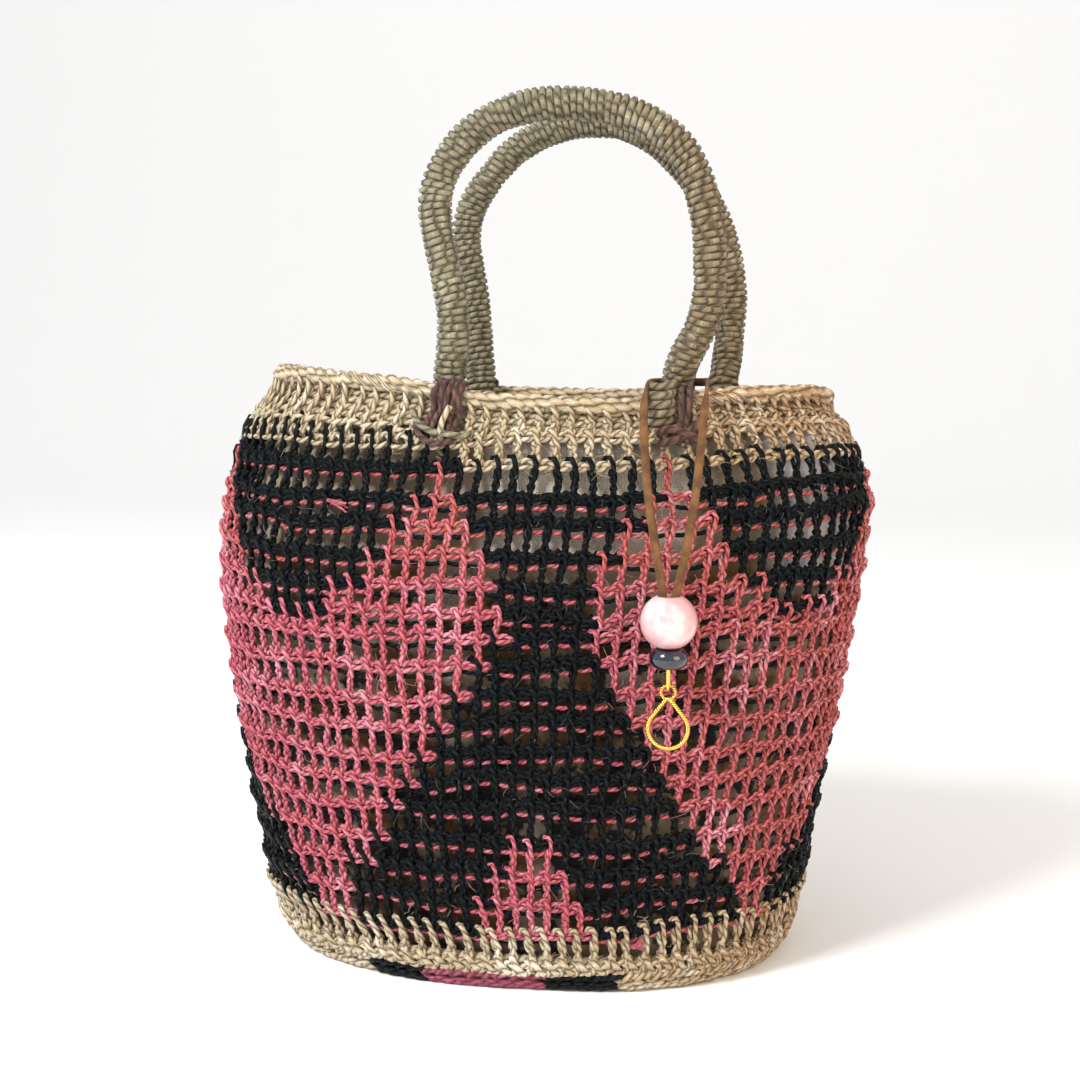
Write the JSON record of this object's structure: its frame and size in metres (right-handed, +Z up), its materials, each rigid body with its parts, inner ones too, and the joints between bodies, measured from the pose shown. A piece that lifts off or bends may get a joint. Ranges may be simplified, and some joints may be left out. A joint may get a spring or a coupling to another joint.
{
  "type": "bilum string bag",
  "caption": "Bucket-shaped crocheted string bag in rose, black and beige twine, with upright bound rope handles, a canvas lining and a bead charm hung on a lace.",
  "frame": {"origin": "middle of the foot, on the surface the bag stands on, measured without the charm and its lace", "axes": "+Z up, the longest extent; +X to the bag's right as seen from the front; +Y towards the back, so the front and the charm face -Y"},
  "size_m": [0.2595, 0.1757, 0.3366],
  "materials": {
    "rose_twine": "coarse rose, black and beige sisal twine, matt",
    "beige_twine": "undyed sisal twine, matt with a faint sheen",
    "olive_twine": "olive-brown plied twine, wound tight",
    "brown_twine": "dark brown plied twine",
    "canvas": "plain-woven unbleached canvas",
    "suede": "brown suede, matt",
    "rose_quartz": "polished, cloudy",
    "dark_stone": "polished, blue-black with fine glints",
    "gold_plate": "polished gold plate"
  },
  "bodies": {
    "bag": {"net_body": "rose_twine", "rim_roll": "beige_twine", "handle_front": "olive_twine", "handle_back": "olive_twine", "lashing_front_left": "brown_twine", "lashing_front_right": "brown_twine", "lashing_back_left": "brown_twine", "lashing_back_right": "brown_twine", "lining": "canvas", "charm_lace": "suede", "bead_quartz": "rose_quartz", "bead_dark": "dark_stone", "eye_link": "gold_plate"},
    "pendant": {"pendant": "gold_plate"}
  },
  "joints": [
    {"name": "pendant_swing", "type": "hinge", "parent": "bag", "child": "pendant", "pos_m": [0.0613, -0.086, 0.1203], "axis": [0, 1, 0], "range_deg": [-45, 45]}
  ]
}
